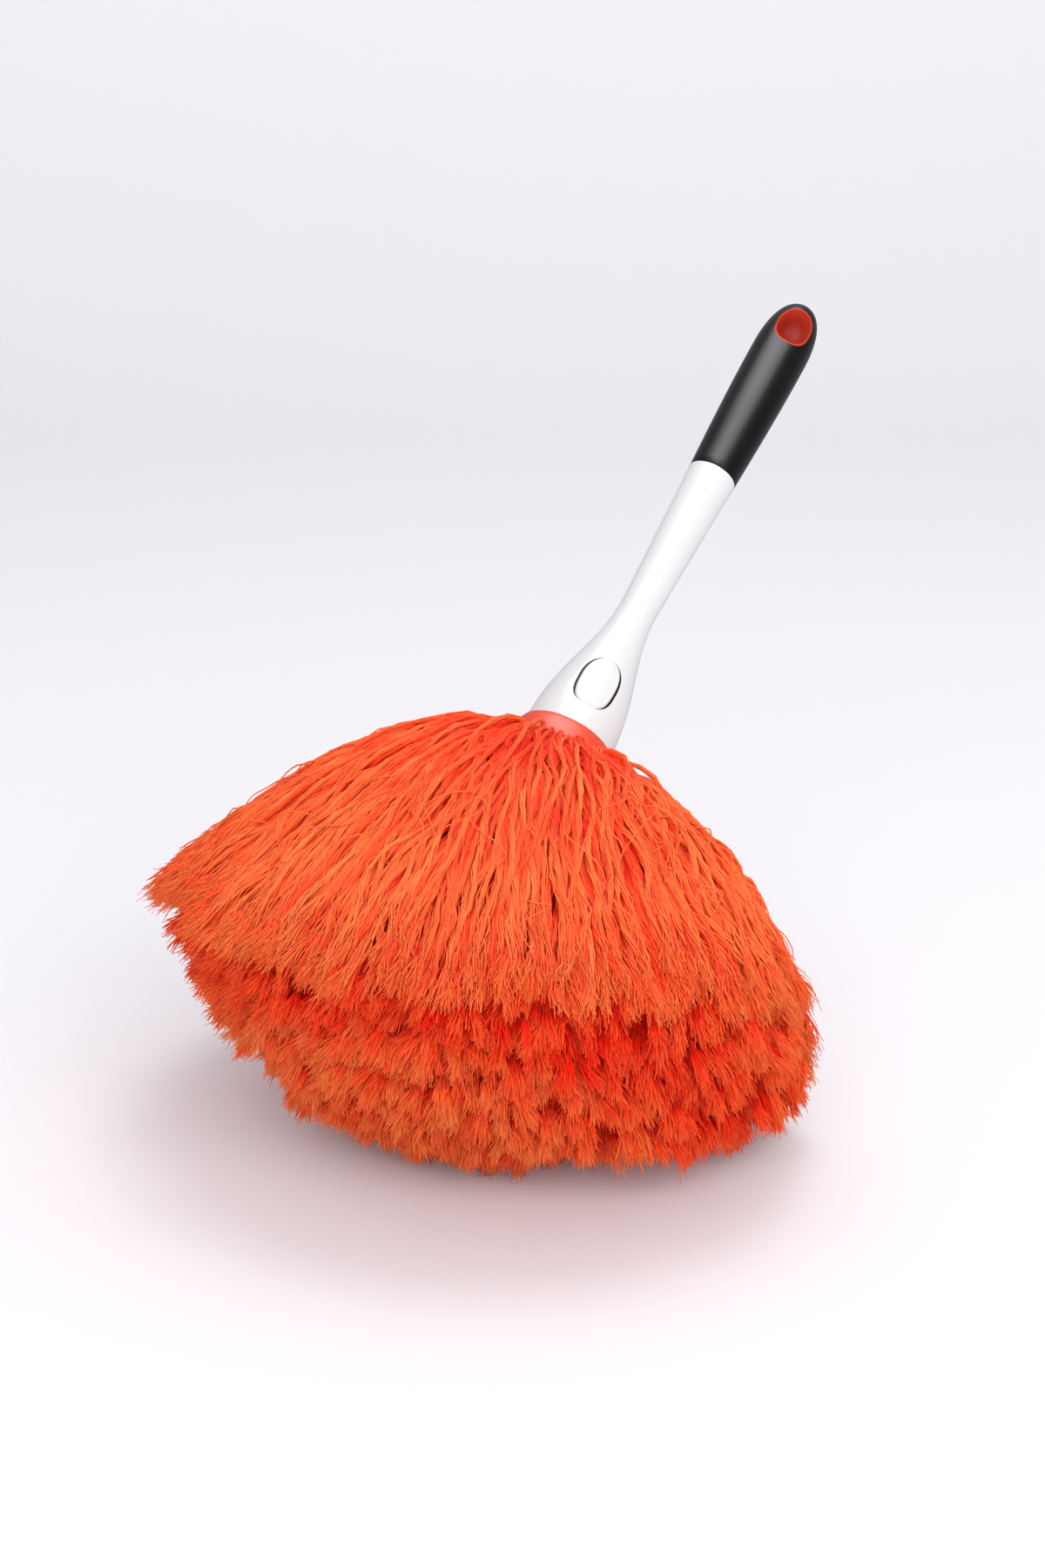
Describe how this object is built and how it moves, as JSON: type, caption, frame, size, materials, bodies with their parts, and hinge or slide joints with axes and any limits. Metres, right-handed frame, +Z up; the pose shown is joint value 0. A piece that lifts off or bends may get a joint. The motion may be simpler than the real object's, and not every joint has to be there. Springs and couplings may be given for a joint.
{
  "type": "microfiber duster",
  "caption": "Handheld duster with a full domed head of orange microfiber strands that clicks into a flared white handle with a release button, a black grip and a hanging recess.",
  "frame": {"origin": "middle of the whole duster's footprint, on the floor that the strand ends rest on", "axes": "+Z up, +X to the right and +Y away from the viewer of the picture; the handle leans up, back and to the right"},
  "size_m": [0.3148, 0.3746, 0.3491],
  "materials": {
    "white_plastic": "gloss moulded",
    "black_grip": "satin soft-touch",
    "orange_plastic": "satin moulded",
    "grey_plastic": "matte moulded",
    "plated_steel": "zinc plated",
    "spring_steel": "drawn wire",
    "microfiber": "matte fluffy yarn"
  },
  "bodies": {
    "head": {"head_collar": "orange_plastic", "head_plug": "orange_plastic", "core_tube": "grey_plastic", "plug_pin": "plated_steel", "top_washer": "grey_plastic", "yarn_tier_1": "microfiber", "yarn_tier_2": "microfiber", "yarn_tier_3": "microfiber", "yarn_tier_4": "microfiber", "yarn_tier_5": "microfiber", "yarn_end_tier": "microfiber", "end_cap": "orange_plastic", "end_screw": "plated_steel"},
    "handle": {"handle_shell": "white_plastic", "soft_grip": "black_grip", "hang_liner": "orange_plastic", "socket_insert": "grey_plastic", "insert_screw_1": "plated_steel", "insert_screw_2": "plated_steel", "latch_clip": "spring_steel", "button_spring": "spring_steel"},
    "button": {"release_button": "white_plastic"}
  },
  "joints": [
    {"name": "handle_pull", "type": "slide", "parent": "head", "child": "handle", "axis": [0.4424, 0.6559, 0.6115], "range_m": [0, 0.05], "deforming": ["latch_clip"]},
    {"name": "button_press", "type": "slide", "parent": "handle", "child": "button", "axis": [-0.1923, 0.7354, -0.6497], "range_m": [0, 0.0025], "stiffness_N_per_m": 600, "springref_m": -0.003, "deforming": ["latch_clip", "button_spring"]}
  ]
}
